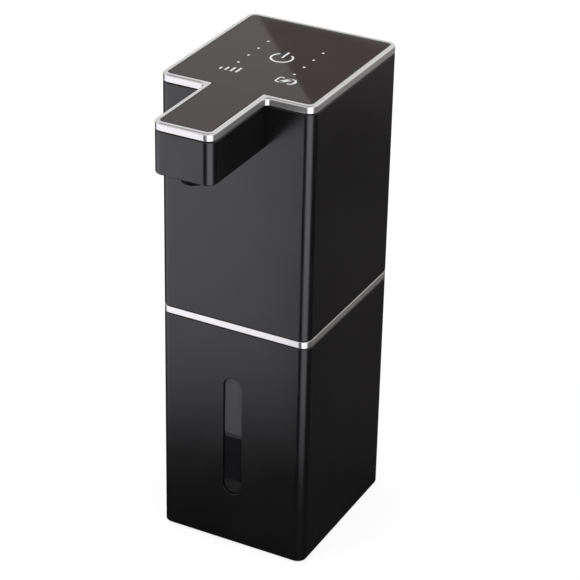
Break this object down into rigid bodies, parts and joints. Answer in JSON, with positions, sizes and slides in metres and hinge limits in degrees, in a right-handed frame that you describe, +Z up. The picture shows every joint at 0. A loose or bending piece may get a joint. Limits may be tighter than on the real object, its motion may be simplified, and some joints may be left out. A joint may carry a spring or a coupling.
{
  "type": "automatic foam soap dispenser",
  "caption": "Upright touch-free foam soap dispenser: a square pump unit with a short spout and a touch top lifts off a reservoir with an upright sight slot.",
  "frame": {"origin": "centre of the body's footprint, on the foot pad's sole", "axes": "+Z up, the spout points to -Y, +X to the viewer's right when the spout faces the viewer"},
  "size_m": [0.066, 0.1135, 0.205],
  "materials": {
    "black_plastic": "satin black moulded ABS",
    "black_glass": "glossy back-printed acrylic",
    "silver_trim": "satin silver electroplated ABS",
    "clear_plastic": "clear moulded plastic",
    "grey_plastic": "moulded ABS",
    "white_plastic": "moulded acetal",
    "dark_rubber": "matt silicone",
    "pale_rubber": "translucent silicone",
    "steel": "nickel-plated steel",
    "copper": "copper windings on a steel core",
    "circuit_board": "green solder mask",
    "cell_wrap": "blue shrink wrap on a lithium cell",
    "sensor_filter": "dark infrared filter plastic"
  },
  "bodies": {
    "reservoir": {"lower_shell": "black_plastic", "soap_tank": "clear_plastic", "base_plate": "black_plastic", "foot_pad": "dark_rubber", "base_screw_1": "steel", "base_screw_2": "steel", "base_screw_3": "steel", "base_screw_4": "steel"},
    "pump_unit": {"upper_housing": "black_plastic", "spout_cover": "black_plastic", "nozzle_tip": "black_plastic", "touch_panel": "black_glass", "mid_band": "silver_trim", "top_bezel": "silver_trim", "dip_tube": "clear_plastic", "ir_emitter": "clear_plastic", "pump_deck": "grey_plastic", "crankcase": "grey_plastic", "motor_bracket": "grey_plastic", "battery_holder": "grey_plastic", "inlet_strainer": "white_plastic", "nozzle_body": "white_plastic", "mesh_cartridge": "white_plastic", "light_guide": "white_plastic", "pump_cover": "white_plastic", "pump_chamber": "white_plastic", "motor_end_cap": "white_plastic", "pump_pad": "dark_rubber", "tank_gasket": "pale_rubber", "valve_disc": "pale_rubber", "diaphragm": "pale_rubber", "suction_hose": "pale_rubber", "foam_hose": "pale_rubber", "deck_screw_1": "steel", "deck_screw_2": "steel", "deck_screw_3": "steel", "deck_screw_4": "steel", "spout_screw_1": "steel", "spout_screw_2": "steel", "pump_screw_1": "steel", "pump_screw_2": "steel", "pump_screw_3": "steel", "pump_screw_4": "steel", "motor_can": "steel", "touch_spring": "steel", "usb_socket": "steel", "main_board": "circuit_board", "touch_board": "circuit_board", "sensor_board": "circuit_board", "battery_cell": "cell_wrap", "sensor_window": "sensor_filter", "ir_receiver": "sensor_filter"},
    "rotor": {"motor_shaft": "steel", "motor_armature": "copper", "eccentric_wheel": "white_plastic", "drive_pin": "steel"},
    "wobble": {"wobble_plate": "white_plastic"},
    "cover_flap": {"usb_cover": "dark_rubber"}
  },
  "joints": [
    {"name": "head_lift", "type": "slide", "parent": "reservoir", "child": "pump_unit", "axis": [0, 0, 1], "range_m": [0, 0.1]},
    {"name": "motor_spin", "type": "hinge", "parent": "pump_unit", "child": "rotor", "pos_m": [-0.0168, 0.0135, 0.1257], "axis": [0, 0, 1], "continuous": true},
    {"name": "wobble_nod", "type": "hinge", "parent": "rotor", "child": "wobble", "pos_m": [-0.0168, 0.0135, 0.1257], "axis": [0.1219, 0, 0.9925], "continuous": true},
    {"name": "usb_cover_hinge", "type": "hinge", "parent": "pump_unit", "child": "cover_flap", "pos_m": [0, 0.0367, 0.1214], "axis": [1, 0, 0], "range_deg": [0, 110]}
  ],
  "couplings": [
    {"joint": "wobble_nod", "follows": "motor_spin", "ratio": -1}
  ]
}
